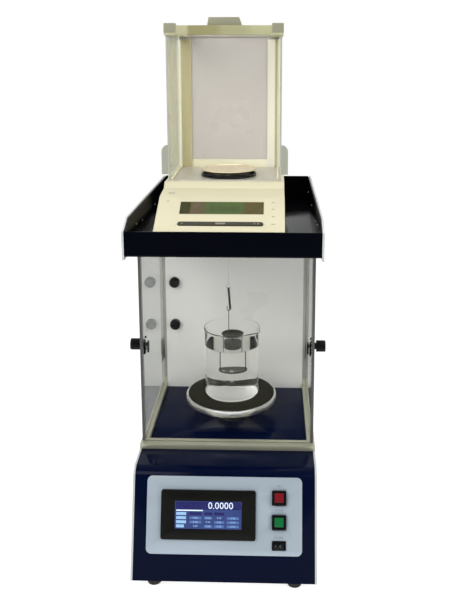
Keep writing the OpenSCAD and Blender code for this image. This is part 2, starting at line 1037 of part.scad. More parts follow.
// Front bar, side rails and corner blocks that carry the top and side glass
module chamber_top_frame() {
    rail_top = top_glass_z - 0.2;
    color("ivory")
        translate([balance_x, 0, 0]) {
            block([-84, chamber_front - 2, frame_low], [84, chamber_front + 12, rail_top]);
            block([-84, chamber_front - 2, rail_top], [84, chamber_front + 2, chamber_top]);
            both_sides() {
                block([79, chamber_front + 12, frame_low], [97, chamber_rear, rail_top]);
                block([84, chamber_front + 12, rail_top], [97, chamber_rear, chamber_top]);
                block([97, chamber_front + 12, frame_low - 1], [104, chamber_rear, rail_top]);
                block([84, chamber_front - 4, frame_low], [97, chamber_front + 12, chamber_top + 3.5]);
                block([97, chamber_front - 4, frame_low - 1], [104, chamber_front + 12, chamber_top + 3.5]);
            }
        }
}

module chamber_front_glass() {
    color([0.85, 0.9, 0.9, 0.3])
        translate([balance_x, 0, 0])
            block([-97, chamber_front, chamber_floor_z - 2], [97, chamber_front + glass_t, frame_low]);
}

// The right glass door with its handle; the left one is its mirror image
module side_glass_door() {
    low = chamber_floor_z - 1.6;
    high = frame_low - 1.6;
    color([0.85, 0.9, 0.9, 0.3])
        block([side_glass_in, chamber_front, low], [side_glass_in + glass_t, chamber_rear - 2, high]);
    color([0.62, 0.64, 0.6]) {
        x = side_glass_in + glass_t;
        translate([x, chamber_front + 8, handle_z])
            rotate([90, 0, 0])
                linear_extrude(6, center = true)
                    union() {
                        square([12, handle_h - 12]);
                        translate([0, handle_h - 12])
                            intersection() {
                                circle(r = 12);
                                square([12, 12]);
                            }
                    }
    }
}

module left_glass_door() {
    translate([balance_x, 0, 0])
        mirror([1, 0, 0])
            side_glass_door();
}

module right_glass_door() {
    translate([balance_x, 0, 0])
        side_glass_door();
}

module top_glass_door() {
    color([0.85, 0.9, 0.9, 0.3])
        translate([balance_x, 0, 0])
            block([-83.4, chamber_front + 2.4, top_glass_z], [83.4, chamber_rear, top_glass_z + glass_t]);
    color([0.62, 0.64, 0.5])
        translate([balance_x + 1.5, chamber_front + 10, top_glass_z + glass_t])
            rotate([90, 0, 0])
                linear_extrude(12, center = true)
                    polygon([[-31, 0], [31, 0], [25, 16], [-28, 16]]);
}

module load_cell() {
    low = tray_floor_top + balance_feet_h + 3;
    color("silver")
        difference() {
            union() {
                translate([balance_x, 0, 0])
                    block([-30, -30, 622], [30, 120, 650]);
                translate([balance_x, 0, 0])
                    block([-25, 70, low], [25, 115, 622]);
            }
            translate([weigh_x, 0, 600])
                cylinder(d = 10, h = 60);
            translate([balance_x, 60, 636])
                rotate([0, 90, 0])
                    cylinder(d = 14, h = 80, center = true);
        }
}

module draft_ring() {
    color([0.05, 0.05, 0.05])
        translate([weigh_x, 0, chamber_floor_z])
            difference() {
                cylinder(d = pan_d - 1, h = 5, $fn = 96);
                translate([0, 0, -eps])
                    cylinder(d = pan_d - 9, h = 5 + 2 * eps, $fn = 96);
            }
}

// Shallow pan with its turned-up edge, on the stem that hangs in the load cell
module weighing_pan() {
    color("lightgray")
        translate([weigh_x, 0, 0]) {
            translate([0, 0, pan_top - 3])
                rotate_extrude($fn = 96)
                    polygon([
                        [0, 0], [pan_d / 2 - 2, 0], [pan_d / 2, 1.2], [pan_d / 2, 3], [pan_d / 2 - 1, 3],
                        [pan_d / 2 - 2.4, pan_plate_t], [0, pan_plate_t]
                    ]);
            translate([0, 0, hook_top_z])
                cylinder(d = stem_dia, h = pan_top - 3 - hook_top_z);
        }
}

// A ring in the XZ plane, standing at z
module ring(r, wire) {
    rotate([90, 0, 0])
        rotate_extrude()
            translate([r, 0])
                circle(d = wire, $fn = 24);
}

// The hook's ring is open at its upper right
module weigh_hook() {
    color("silver")
        translate([weigh_x, 0, 0]) {
            translate([0, 0, hook_z + hook_r])
                cylinder(d = stem_dia, h = hook_top_z - hook_z - hook_r);
            translate([0, 0, hook_z])
                rotate([0, 0, 90])
                    difference() {
                        ring(hook_r, hook_wire);
                        translate([hook_r, 0, 1.8])
                            cube([6, 6, 3.6], center = true);
                    }
        }
}

// A straight round wire between two [x, z] points
module wire_between(a, b, d) {
    run = b - a;
    translate([a[0], 0, a[1]])
        rotate([0, atan2(run[0], run[1]), 0])
            cylinder(d = d, h = norm(run), $fn = 24);
}

// Thin suspension wire with an eye at each end, the dark rod and the hook at its lower end
module hanger_rod() {
    low_eye = rod_top + [0, eye_r - 0.3];
    color([0.25, 0.25, 0.26])
        translate([weigh_x, 0, 0]) {
            translate([0, 0, eye_z])
                ring(eye_r, eye_wire);
            wire_between([0, eye_z - eye_r], low_eye + [0, eye_r], eye_wire);
            translate([low_eye[0], 0, low_eye[1]])
                ring(eye_r, eye_wire);
            wire_between(rod_top, rod_bottom, 4.2);
            translate([stem_x, 0, rod_bottom[1]])
                difference() {
                    ring(rod_hook_r, rod_hook_wire);
                    translate([0, 0, 4])
                        cube([12, 6, 8], center = true);
                }
            wire_between([stem_x - rod_hook_r, rod_bottom[1]], [stem_x - rod_hook_r, rod_bottom[1] + 6], rod_hook_wire);
        }
}

// Wire stem, upper dish, dark block, side wires and lower dish of the specimen holder
module sample_basket() {
    wire_d = 1.4;
    side = 18.2;
    color([0.33, 0.33, 0.3])
        translate([weigh_x, 0, 0]) {
            translate([stem_x, 0, loop_z])
                rotate([0, 0, 90])
                    ring(loop_r, eye_wire);
            wire_between([stem_x, dish_z - 1], [stem_x, loop_z - loop_r], wire_d);
            translate([basket_x, 0, 0]) {
                translate([0, 0, dish_z - 2])
                    rotate_extrude()
                        polygon([[0, 0], [16, 0], [21.5, 4], [20.2, 4], [15, 1.6], [0, 1.6]]);
                translate([0, 0, block_z])
                    cylinder(d = 3, h = dish_z - 2 - block_z);
                translate([0, 0, block_z - 13])
                    cylinder(r = 17, h = 13);
                for (x = [-side, side])
                    translate([x, 0, lower_dish_z])
                        cylinder(d = wire_d, h = dish_z + 1.2 - lower_dish_z);
                translate([0, 0, lower_dish_z - 1.5])
                    cylinder(r = side + 2, h = 3);
            }
        }
}

base_pan();
front_cover();
top_plate();
left_side_panel();
right_side_panel();
rear_panel();
rubber_feet();
control_panel();
display_unit();
display_glass();
switch_bezels();
red_button();
green_button();
power_rocker();
control_board();
power_supply();
mains_inlet();
lift_plates();
guide_rods();
lift_motor();
lead_screw();
lift_carriage();
stage_shaft();
shaft_bush();
stage_disc();
stage_mat();
beaker();
cabinet_frame();
back_wall();
front_window();
left_door();
right_door();
fixed_door_hardware();
left_door_hinges();
right_door_hinges();
left_latch_knob();
right_latch_knob();
wall_knobs();
column_shell();
tray_pan();
tray_front();
tray_side_plates();
balance_base();
balance_cover();
balance_display();
balance_key_bar();
chamber_floor();
chamber_rear_frame();
chamber_back_panel();
chamber_top_frame();
chamber_front_glass();
left_glass_door();
right_glass_door();
top_glass_door();
load_cell();
draft_ring();
weighing_pan();
weigh_hook();
hanger_rod();
sample_basket();
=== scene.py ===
"""Looks of the benchtop density meter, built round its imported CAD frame.

Sizes are in metres; MM turns a drawing size in millimetres into metres.
"""
import math

import bmesh
import bpy
from mathutils import Matrix, Vector

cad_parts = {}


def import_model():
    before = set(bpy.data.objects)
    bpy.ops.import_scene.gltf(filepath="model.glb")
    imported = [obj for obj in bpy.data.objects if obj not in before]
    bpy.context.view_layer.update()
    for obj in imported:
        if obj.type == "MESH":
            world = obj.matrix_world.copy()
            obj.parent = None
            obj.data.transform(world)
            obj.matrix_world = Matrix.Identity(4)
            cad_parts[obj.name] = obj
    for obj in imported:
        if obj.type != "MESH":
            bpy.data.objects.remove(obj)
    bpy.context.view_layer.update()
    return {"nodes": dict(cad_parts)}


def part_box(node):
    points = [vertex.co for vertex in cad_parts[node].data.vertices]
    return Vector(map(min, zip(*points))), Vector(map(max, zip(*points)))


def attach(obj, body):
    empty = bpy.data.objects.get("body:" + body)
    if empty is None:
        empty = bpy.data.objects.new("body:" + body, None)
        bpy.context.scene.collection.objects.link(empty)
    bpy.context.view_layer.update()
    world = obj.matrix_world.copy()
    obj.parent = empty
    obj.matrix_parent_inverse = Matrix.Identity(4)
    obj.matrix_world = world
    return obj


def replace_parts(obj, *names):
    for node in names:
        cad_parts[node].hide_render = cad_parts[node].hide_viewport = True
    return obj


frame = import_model()
nodes = frame["nodes"]

MM = 0.001
SCENE = bpy.context.scene

# Slopes of the base front and of the balance console, and the small sizes that the frame doesn't name
FRONT_TILT = math.radians(18)
CONSOLE_ANGLE = math.radians(26.72)
CONSOLE_START = Vector((-7, -214, 615)) * MM
PANEL_T = 2 * MM
DISPLAY_FACE = 6.6 * MM
LCD_FACE = -0.6 * MM
INK = 0.08 * MM
WATER_LEVEL = 342.7 * MM
MIDDLE = Vector((0, 0, 450)) * MM
GLASS_T = 3 * MM
GLASS_INDEX = 1.45
BEAKER_INDEX = 1.22
WATER_INDEX = 1.33
WATER_FACE_INDEX = 1.04
# The middle part of a noise texture's range, over which a finish goes from its lowest to its highest value
NOISE_LOW, NOISE_HIGH = 0.35, 0.65
# Below these a radius or a difference in height counts as none
ON_AXIS, SAME_HEIGHT = 1e-7, 1e-9
WELD_WITHIN = 0.001 * MM
ROUND_ABOVE = math.radians(40)
SMOOTH_BELOW = math.radians(32)


# ---------------------------------------------------------------- finishes

def finish(name, color, roughness, metallic=0.0, tone=0.05, tone_scale=14.0, grain=0.0,
           grain_scale=700.0, spread=0.04, stretch=(1, 1, 1), **sockets):
    """A procedural finish: colour and roughness that drift over the surface, and a fine grain in the bump."""
    material = bpy.data.materials.new(name)
    material.use_nodes = True
    tree = material.node_tree
    shader = tree.nodes["Principled BSDF"]
    coords = tree.nodes.new("ShaderNodeTexCoord")
    mapping = tree.nodes.new("ShaderNodeMapping")
    mapping.inputs["Scale"].default_value = stretch
    tree.links.new(coords.outputs["Object"], mapping.inputs["Vector"])

    drift = tree.nodes.new("ShaderNodeTexNoise")
    drift.inputs["Scale"].default_value = tone_scale
    drift.inputs["Detail"].default_value = 5.0
    tree.links.new(mapping.outputs["Vector"], drift.inputs["Vector"])
    paint = tree.nodes.new("ShaderNodeMix")
    paint.data_type = "RGBA"
    paint.inputs["A"].default_value = (*[c * (1 - tone) for c in color], 1)
    paint.inputs["B"].default_value = (*[min(1, c * (1 + tone)) for c in color], 1)
    tree.links.new(drift.outputs["Fac"], paint.inputs["Factor"])
    tree.links.new(paint.outputs["Result"], shader.inputs["Base Color"])

    gloss = tree.nodes.new("ShaderNodeMapRange")
    gloss.inputs["From Min"].default_value = NOISE_LOW
    gloss.inputs["From Max"].default_value = NOISE_HIGH
    gloss.inputs["To Min"].default_value = max(0.0, roughness - spread)
    gloss.inputs["To Max"].default_value = min(1.0, roughness + spread)
    tree.links.new(drift.outputs["Fac"], gloss.inputs["Value"])
    tree.links.new(gloss.outputs["Result"], shader.inputs["Roughness"])

    if grain:
        fine = tree.nodes.new("ShaderNodeTexNoise")
        fine.inputs["Scale"].default_value = grain_scale
        fine.inputs["Detail"].default_value = 2.0
        tree.links.new(mapping.outputs["Vector"], fine.inputs["Vector"])
        bump = tree.nodes.new("ShaderNodeBump")
        bump.inputs["Strength"].default_value = grain
        bump.inputs["Distance"].default_value = 0.1 * MM
        tree.links.new(fine.outputs["Fac"], bump.inputs["Height"])
        tree.links.new(bump.outputs["Normal"], shader.inputs["Normal"])

    shader.inputs["Metallic"].default_value = metallic
    for key, value in sockets.items():
        shader.inputs[key.replace("_", " ")].default_value = value
    return material


def clear(name, color, ior, **sockets):
    """Clear glass, acrylic or water."""
    return finish(name, color, 0.0, tone=0.01, tone_scale=9, spread=0.003,
                  Transmission_Weight=1.0, IOR=ior, **sockets)


def lit(name, color, strength, tone=0.08, tone_scale=60):
    """A plastic or display face that glows a little."""
    return finish(name, color, 0.3, tone=tone, tone_scale=tone_scale, Specular_IOR_Level=0.2,
                  Emission_Color=(*color, 1), Emission_Strength=strength)


NAVY = finish("navy_gloss", (0.0018, 0.0050, 0.027), 0.14, tone=0.12, grain=0.05, grain_scale=260,
              Specular_IOR_Level=0.05)
NAVY_BLACK = finish("navy_black_gloss", (0.0010, 0.0016, 0.0050), 0.14, tone=0.1, grain=0.05,
                    grain_scale=260, Specular_IOR_Level=0.02)
BLACK_SHEET = finish("black_sheet", (0.0025, 0.0025, 0.004), 0.16, tone=0.2, grain=0.08,
                     grain_scale=500, Specular_IOR_Level=0.12)
PALE_EDGE = finish("pale_side_plate", (0.74, 0.76, 0.74), 0.34, metallic=0.1, tone=0.05,
                   grain=0.1, stretch=(1, 1, 12))
SILVER_PANEL = finish("silver_panel", (0.52, 0.61, 0.69), 0.36, metallic=0.25, tone=0.05,
                      tone_scale=40, grain=0.12, grain_scale=420, stretch=(0.12, 1, 1))
BEZEL_BLACK = finish("bezel_black", (0.006, 0.0065, 0.0045), 0.38, tone=0.15, grain=0.3, grain_scale=1500,
                     Specular_IOR_Level=0.15)
SWITCH_BLACK = finish("switch_black", (0.004, 0.005, 0.0055), 0.3, tone=0.15, grain=0.15, grain_scale=1500,
                      Specular_IOR_Level=0.2)
RUBBER = finish("black_rubber", (0.012, 0.012, 0.012), 0.7, tone=0.2, grain=0.5, grain_scale=1800)
STEEL = finish("turned_steel", (0.62, 0.62, 0.63), 0.22, metallic=1.0, tone=0.05, grain=0.1,
               grain_scale=500, stretch=(1, 1, 8))
DARK_STEEL = finish("dark_steel", (0.045, 0.045, 0.038), 0.34, metallic=0.6, tone=0.15, grain=0.15)
BASKET = finish("basket_steel", (0.042, 0.042, 0.030), 0.36, metallic=0.2, tone=0.15, grain=0.15,
                Specular_IOR_Level=0.25)
POLISHED = finish("polished_rim", (0.78, 0.78, 0.76), 0.28, metallic=1.0, tone=0.05, grain=0.06,
                  grain_scale=300, stretch=(1, 1, 10))
MAT_BLACK = finish("stage_mat_black", (0.017, 0.0165, 0.0075), 0.5, tone=0.25, tone_scale=40,
                   grain=0.35, grain_scale=1400, Specular_IOR_Level=0.05)
ALUMINIUM = finish("milled_aluminium", (0.55, 0.56, 0.57), 0.38, metallic=0.9, tone=0.05, grain=0.2,
                   stretch=(1, 10, 1))
WALL_GREY = finish("wall_grey", (0.86, 0.85, 0.815), 0.3, tone=0.03, tone_scale=7, grain=0.08,
                   grain_scale=350)
KNOB_BLACK = finish("knob_black", (0.003, 0.003, 0.003), 0.36, tone=0.2, grain=0.2, grain_scale=1600,
                    Specular_IOR_Level=0.2)
CREAM = finish("cream_plastic", (0.87, 0.81, 0.56), 0.42, tone=0.03, tone_scale=10, grain=0.25,
               grain_scale=1300)
GREY_OLIVE = finish("grey_olive_plastic", (0.39, 0.38, 0.26), 0.45, tone=0.06, grain=0.3,
                    grain_scale=1300)
PULL_GREY = finish("pull_grey", (0.52, 0.53, 0.44), 0.42, tone=0.05, grain=0.25, grain_scale=1300)
CHAMBER_GREY = finish("chamber_back_grey", (0.53, 0.49, 0.475), 0.3, tone=0.03, tone_scale=11,
                      grain=0.08)
FLOOR_STEEL = finish("chamber_floor_steel", (0.55, 0.52, 0.47), 0.32, metallic=0.4, tone=0.06,
                     grain=0.15, stretch=(1, 14, 1))
# The pan's cream tint is a painted reflection of the cream balance round it
PAN_STEEL = finish("pan_steel", (0.88, 0.76, 0.52), 0.24, metallic=0.6, tone=0.04, grain=0.05,
                   grain_scale=400)
KEY_DARK = finish("key_bar_dark", (0.048, 0.044, 0.028), 0.42, tone=0.12, grain=0.2, grain_scale=1300,
                  Specular_IOR_Level=0.25)
KEY_MARK = finish("key_mark", (0.30, 0.27, 0.22), 0.5, tone=0.08, grain=0.1)
BOARD_GREEN = finish("board_green", (0.01, 0.09, 0.03), 0.4, tone=0.3, tone_scale=160, grain=0.3)
BOX_STEEL = finish("zinc_case", (0.5, 0.5, 0.5), 0.4, metallic=0.8, tone=0.12, tone_scale=50, grain=0.2)
LEGEND = finish("legend_grey", (0.17, 0.22, 0.28), 0.5, tone=0.1, grain=0.1)
FAINT = finish("legend_faint", (0.40, 0.36, 0.25), 0.5, tone=0.1, grain=0.1)
INK_WHITE = finish("enamel_white", (0.72, 0.73, 0.70), 0.4, tone=0.05, grain=0.1)
RED_LENS = lit("red_lens", (0.25, 0.007, 0.016), 0.05)
GREEN_LENS = lit("green_lens", (0.005, 0.19, 0.048), 0.05)
DISPLAY_BLUE = lit("display_blue", (0.040, 0.062, 0.20), 0.4, tone=0.25, tone_scale=45)
DISPLAY_BAR = lit("display_bar", (0.020, 0.022, 0.115), 0.4, tone=0.2)
DISPLAY_CELL = lit("display_cell", (0.085, 0.15, 0.36), 0.5, tone=0.35, tone_scale=220)
DISPLAY_WHITE = lit("display_white", (0.72, 0.82, 0.95), 0.6, tone=0.1, tone_scale=200)
DISPLAY_CYAN = lit("display_cyan", (0.28, 0.48, 0.72), 0.5, tone=0.35, tone_scale=260)
LCD_DIGIT = finish("lcd_digit", (0.030, 0.060, 0.022), 0.5, tone=0.2, Specular_IOR_Level=0.2)
# The front panes mirror little, so that what stands behind them stays clear
WINDOW = clear("window_glass", (0.99, 0.995, 0.99), GLASS_INDEX, Specular_Tint=(0.04, 0.04, 0.04, 1))
ACRYLIC = clear("cabinet_glass", (0.46, 0.47, 0.445), GLASS_INDEX)
ACRYLIC_EDGE = finish("cabinet_glass_edge", (0.10, 0.10, 0.09), 0.25, tone=0.15, tone_scale=30,
                      grain=0.1, Specular_IOR_Level=0.3)
CHAMBER_GLASS = clear("chamber_glass", (0.97, 0.975, 0.95), GLASS_INDEX, Specular_Tint=(0.1, 0.1, 0.1, 1))
SIDE_GLASS = clear("side_glass", (0.70, 0.72, 0.66), GLASS_INDEX)
CHAMBER_EDGE = finish("chamber_glass_edge", (0.62, 0.62, 0.52), 0.25, tone=0.12, grain=0.1)
# The beaker and the face of the water bend light less than the real ones, so that their walls stay clear;
# the wet glass is one face between beaker and water
BEAKER_GLASS = clear("beaker_glass", (0.99, 0.995, 0.975), BEAKER_INDEX)
WATER = clear("water", (0.995, 0.998, 0.99), WATER_FACE_INDEX)
WET_GLASS = clear("wet_glass", (0.995, 0.998, 0.985), BEAKER_INDEX / WATER_INDEX)
SOCKET_BLACK = finish("socket_black", (0.012, 0.012, 0.013), 0.5, tone=0.1, grain=0.3, grain_scale=1500)


def across_body(material, stops):
    """Lets the colour change from left to right over the object, with stops of [x in mm, colour]."""
    tree = material.node_tree
    shader = tree.nodes["Principled BSDF"]
    coords = tree.nodes.new("ShaderNodeTexCoord")
    split = tree.nodes.new("ShaderNodeSeparateXYZ")
    tree.links.new(coords.outputs["Object"], split.inputs["Vector"])
    first, last = stops[0][0], stops[-1][0]
    across = tree.nodes.new("ShaderNodeMapRange")
    across.inputs["From Min"].default_value = first * MM
    across.inputs["From Max"].default_value = last * MM
    tree.links.new(split.outputs["X"], across.inputs["Value"])
    ramp = tree.nodes.new("ShaderNodeValToRGB")
    spots = ramp.color_ramp.elements
    for x, color in stops[1:-1]:
        spots.new((x - first) / (last - first)).color = (*color, 1)
    spots[0].color = (*stops[0][1], 1)
    spots[len(spots) - 1].color = (*stops[-1][1], 1)
    tree.links.new(across.outputs["Result"], ramp.inputs["Fac"])
    noise = tree.nodes.new("ShaderNodeTexNoise")
    noise.inputs["Scale"].default_value = 30
    # A faint cloudiness over the ramp
    blend = tree.nodes.new("ShaderNodeMix")
    blend.data_type = "RGBA"
    blend.blend_type = "MULTIPLY"
    blend.inputs["Factor"].default_value = 0.08
    tree.links.new(ramp.outputs["Color"], blend.inputs["A"])
    tree.links.new(noise.outputs["Color"], blend.inputs["B"])
    tree.links.new(blend.outputs["Result"], shader.inputs["Base Color"])
    return material


def across_height(material, low, high, color):
    """Lets the colour change to another one between two heights in mm."""
    tree = material.node_tree
    shader = tree.nodes["Principled BSDF"]
    before = shader.inputs["Base Color"].links[0].from_socket
    coords = tree.nodes.new("ShaderNodeTexCoord")
    split = tree.nodes.new("ShaderNodeSeparateXYZ")
    tree.links.new(coords.outputs["Object"], split.inputs["Vector"])
    above = tree.nodes.new("ShaderNodeMapRange")
    above.inputs["From Min"].default_value = low * MM
    above.inputs["From Max"].default_value = high * MM
    tree.links.new(split.outputs["Z"], above.inputs["Value"])
    blend = tree.nodes.new("ShaderNodeMix")
    blend.data_type = "RGBA"
    tree.links.new(before, blend.inputs["A"])
    blend.inputs["B"].default_value = (*color, 1)
    tree.links.new(above.outputs["Result"], blend.inputs["Factor"])
    tree.links.new(blend.outputs["Result"], shader.inputs["Base Color"])
    return material


# Liquid crystal window: green in the middle, with painted shade and painted reflections that make it dark
# olive at the left and brown to the right
LCD = across_body(finish("lcd_window", (0.08, 0.1, 0.03), 0.25, Specular_IOR_Level=0.12), [
    (-80, (0.050, 0.050, 0.014)), (-60, (0.055, 0.055, 0.016)), (-57, (0.150, 0.112, 0.055)),
    (-37, (0.130, 0.100, 0.045)), (-32, (0.085, 0.135, 0.034)), (30, (0.090, 0.135, 0.030)),
    (34, (0.115, 0.090, 0.022)), (67, (0.110, 0.085, 0.020))])
# Cabinet frame: champagne rails round the floor; the darker colour of the posts above them is painted shade
FRAME_RAILS = across_height(
    finish("cabinet_rails", (0.52, 0.52, 0.39), 0.36, metallic=0.45, tone=0.07, grain=0.18),
    214, 218, (0.36, 0.36, 0.32))
# Hanger: the dark rod, and above it a fine wire whose bright colour is its steel with a painted highlight
HANGER = across_height(
    finish("hanger_steel", (0.022, 0.022, 0.018), 0.34, metallic=0.4, tone=0.15, grain=0.15),
    456.5, 458, (0.62, 0.62, 0.60))
# Rear frame of the chamber: a shaded left pillar, a pale right one with a shaded line beside its edge, and a
# shaded top
PILLARS = across_height(across_body(
    finish("pillar_plastic", (0.87, 0.83, 0.66), 0.42, tone=0.03, grain=0.25, grain_scale=1300), [
        (-106, (0.85, 0.81, 0.60)), (-103, (0.85, 0.81, 0.60)), (-101.5, (0.44, 0.39, 0.21)),
        (-84, (0.46, 0.41, 0.23)), (-78, (0.80, 0.76, 0.56)), (62, (0.86, 0.82, 0.64)),
        (70, (0.80, 0.76, 0.66)), (82, (0.84, 0.80, 0.68)), (83.5, (0.44, 0.42, 0.24)),
        (87, (0.46, 0.44, 0.25)), (88.5, (0.85, 0.82, 0.60)), (92, (0.85, 0.82, 0.60))]),
    924, 926, (0.40, 0.37, 0.33))
# Top frame of the chamber: painted shade makes it yellower and darker towards the middle
TOP_OLIVE = across_body(
    finish("top_frame_plastic", (0.68, 0.65, 0.40), 0.42, tone=0.05, grain=0.25, grain_scale=1300), [
        (-112, (0.66, 0.63, 0.40)), (-72, (0.68, 0.65, 0.40)), (-67, (0.43, 0.39, 0.18)),
        (-22, (0.45, 0.42, 0.20)), (-8, (0.54, 0.52, 0.29)), (30, (0.56, 0.54, 0.30)),
        (48, (0.64, 0.64, 0.36)), (98, (0.66, 0.66, 0.38))])


# ---------------------------------------------------------------- building helpers

def piece(name, bm, body, *materials, sharp=35, move=None):
    """Turns a bmesh into a piece that rides on a CAD body."""
    if move:
        bm.transform(move)
    bmesh.ops.recalc_face_normals(bm, faces=bm.faces)
    mesh = bpy.data.meshes.new(name)
    bm.to_mesh(mesh)
    bm.free()
    for material in materials:
        mesh.materials.append(material)
    mesh.polygons.foreach_set("use_smooth", [True] * len(mesh.polygons))
    mesh.set_sharp_from_angle(angle=math.radians(sharp))
    made = bpy.data.objects.new(name, mesh)
    SCENE.collection.objects.link(made)
    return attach(made, body)


def add_block(bm, low, high, radius, segments=2):
    """Adds a block between two corners, its edges rounded."""
    low, high = Vector(low), Vector(high)
    part = bmesh.new()
    bmesh.ops.create_cube(part, size=1)
    part.transform(Matrix.Translation((low + high) / 2) @ Matrix.Diagonal((*(high - low), 1)))
    bmesh.ops.bevel(part, geom=part.edges, offset=radius, segments=segments, profile=0.5, affect="EDGES")
    merge(bm, part)


def merge(bm, part):
    """Adds part's mesh to bm and frees part."""
    mesh = bpy.data.meshes.new("merge")
    part.to_mesh(mesh)
    part.free()
    bm.from_mesh(mesh)
    bpy.data.meshes.remove(mesh)


def add_prism(bm, outline, depth, radius=0.0, segments=2, slot=0, move=None):
    """Adds a plate with an [x, y] outline, from z 0 to depth, its upper edge rounded."""
    part = bmesh.new()
    face = part.faces.new([part.verts.new((x, y, 0)) for x, y in outline])
    top = bmesh.ops.extrude_face_region(part, geom=[face])["geom"]
    verts = [g for g in top if isinstance(g, bmesh.types.BMVert)]
    bmesh.ops.translate(part, verts=verts, vec=(0, 0, depth))
    bmesh.ops.recalc_face_normals(part, faces=part.faces)
    if radius:
        upper = [e for e in part.edges if all(abs(v.co.z - depth) < SAME_HEIGHT for v in e.verts)]
        bmesh.ops.bevel(part, geom=upper, offset=radius, segments=segments, profile=0.5, affect="EDGES")
    for f in part.faces:
        f.material_index = slot
    if move:
        part.transform(move)
    merge(bm, part)


def rounded_outline(width, height, radius, steps=6):
    """Corner points of a centred rectangle with round corners."""
    points = []
    for turn, (sx, sy) in enumerate([(1, 1), (-1, 1), (-1, -1), (1, -1)]):
        cx, cy = sx * (width / 2 - radius), sy * (height / 2 - radius)
        for i in range(steps + 1):
            a = math.radians(90 * (turn + i / steps))
            points.append((cx + radius * math.cos(a), cy + radius * math.sin(a)))
    return points


def arc(cx, cz, radius, start, end, steps=6):
    """Points of a round stretch of a section, angles in degrees."""
    angles = [math.radians(start + (end - start) * i / steps) for i in range(steps + 1)]
    return [(cx + radius * math.cos(a), cz + radius * math.sin(a)) for a in angles]


def add_lathe(bm, section, steps=96, move=None):
    """Adds a turned solid with an [r, z] section."""
    part = bmesh.new()
    rings = []
    for r, z in section:
        count = 1 if r < ON_AXIS else steps
        turns = [2 * math.pi * i / steps for i in range(count)]
        rings.append([part.verts.new((r * math.cos(turn), r * math.sin(turn), z)) for turn in turns])
    for a, b in zip(rings, rings[1:]):
        for i in range(steps):
            j = (i + 1) % steps
            corners = dict.fromkeys([a[i % len(a)], a[j % len(a)], b[j % len(b)], b[i % len(b)]])
            if len(corners) > 2:
                part.faces.new(list(corners))
    if move:
        part.transform(move)
    merge(bm, part)


def add_text(bm, words, size, slot=0, move=None):
    """Adds raised figures or plain words, centred on the origin of move."""
    curve = bpy.data.curves.new("words", "FONT")
    curve.body = words
    curve.size = size
    curve.extrude = INK / 2
    curve.align_x = "CENTER"
    curve.align_y = "CENTER"
    curve.resolution_u = 2
    carrier = bpy.data.objects.new("words", curve)
    mesh = bpy.data.meshes.new_from_object(carrier)
    part = bmesh.new()
    part.from_mesh(mesh)
    for face in part.faces:
        face.material_index = slot
    if move:
        part.transform(move)
    merge(bm, part)
    bpy.data.objects.remove(carrier)
    bpy.data.curves.remove(curve)
    bpy.data.meshes.remove(mesh)


def plane_at(origin, angle):
    """A frame on a slope: x sideways, y up the slope, z out of it."""
    return Matrix.Translation(origin) @ Matrix.Rotation(angle, 4, "X")


cover_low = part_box("front_cover")[0]
FRONT = plane_at((0, cover_low.y, cover_low.z), math.pi / 2 - FRONT_TILT)
CONSOLE = plane_at(CONSOLE_START, CONSOLE_ANGLE)


def on_slope(slope, node):
    """Centre of a node, in the slope's own frame."""
    low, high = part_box(node)
    return slope.inverted() @ ((low + high) / 2)


def at(x=0.0, y=0.0, z=0.0):
    """A move to a point."""
    return Matrix.Translation((x, y, z))


# ---------------------------------------------------------------- CAD nodes that stay

FINISH_OF = {
    "base_pan": BOX_STEEL, "front_cover": NAVY, "top_plate": NAVY, "left_side_panel": PALE_EDGE,
    "right_side_panel": PALE_EDGE, "rear_panel": NAVY, "rubber_feet": RUBBER, "control_panel": SILVER_PANEL,
    "display_unit": BEZEL_BLACK, "display_glass": DISPLAY_BLUE, "switch_bezels": SWITCH_BLACK,
    "red_button": RED_LENS, "green_button": GREEN_LENS, "power_rocker": SWITCH_BLACK,
    "control_board": BOARD_GREEN, "power_supply": BOX_STEEL, "mains_inlet": SOCKET_BLACK,
    "lift_plates": ALUMINIUM, "guide_rods": STEEL, "lift_motor": SWITCH_BLACK, "lead_screw": STEEL,
    "lift_carriage": ALUMINIUM, "stage_shaft": DARK_STEEL, "shaft_bush": KNOB_BLACK, "stage_disc": POLISHED,
    "stage_mat": MAT_BLACK, "beaker": BEAKER_GLASS, "cabinet_frame": FRAME_RAILS, "back_wall": WALL_GREY,
    "front_window": ACRYLIC, "left_door": ACRYLIC, "right_door": ACRYLIC, "fixed_door_hardware": KNOB_BLACK,
    "left_door_hinges": KNOB_BLACK, "right_door_hinges": KNOB_BLACK, "left_latch_knob": KNOB_BLACK,
    "right_latch_knob": KNOB_BLACK, "wall_knobs": KNOB_BLACK, "column_shell": NAVY, "tray_pan": BLACK_SHEET,
    "tray_front": NAVY_BLACK, "tray_side_plates": PALE_EDGE, "balance_base": CREAM, "balance_cover": CREAM,
    "balance_display": LCD, "balance_key_bar": KEY_DARK, "chamber_floor": FLOOR_STEEL,
    "chamber_rear_frame": PILLARS, "chamber_back_panel": CHAMBER_GREY, "chamber_top_frame": TOP_OLIVE,
    "chamber_front_glass": CHAMBER_GLASS, "left_glass_door": CHAMBER_GLASS, "right_glass_door": CHAMBER_GLASS,
    "top_glass_door": CHAMBER_GLASS, "load_cell": ALUMINIUM, "draft_ring": KNOB_BLACK,
    "weighing_pan": PAN_STEEL, "weigh_hook": STEEL, "hanger_rod": HANGER, "sample_basket": BASKET,
}

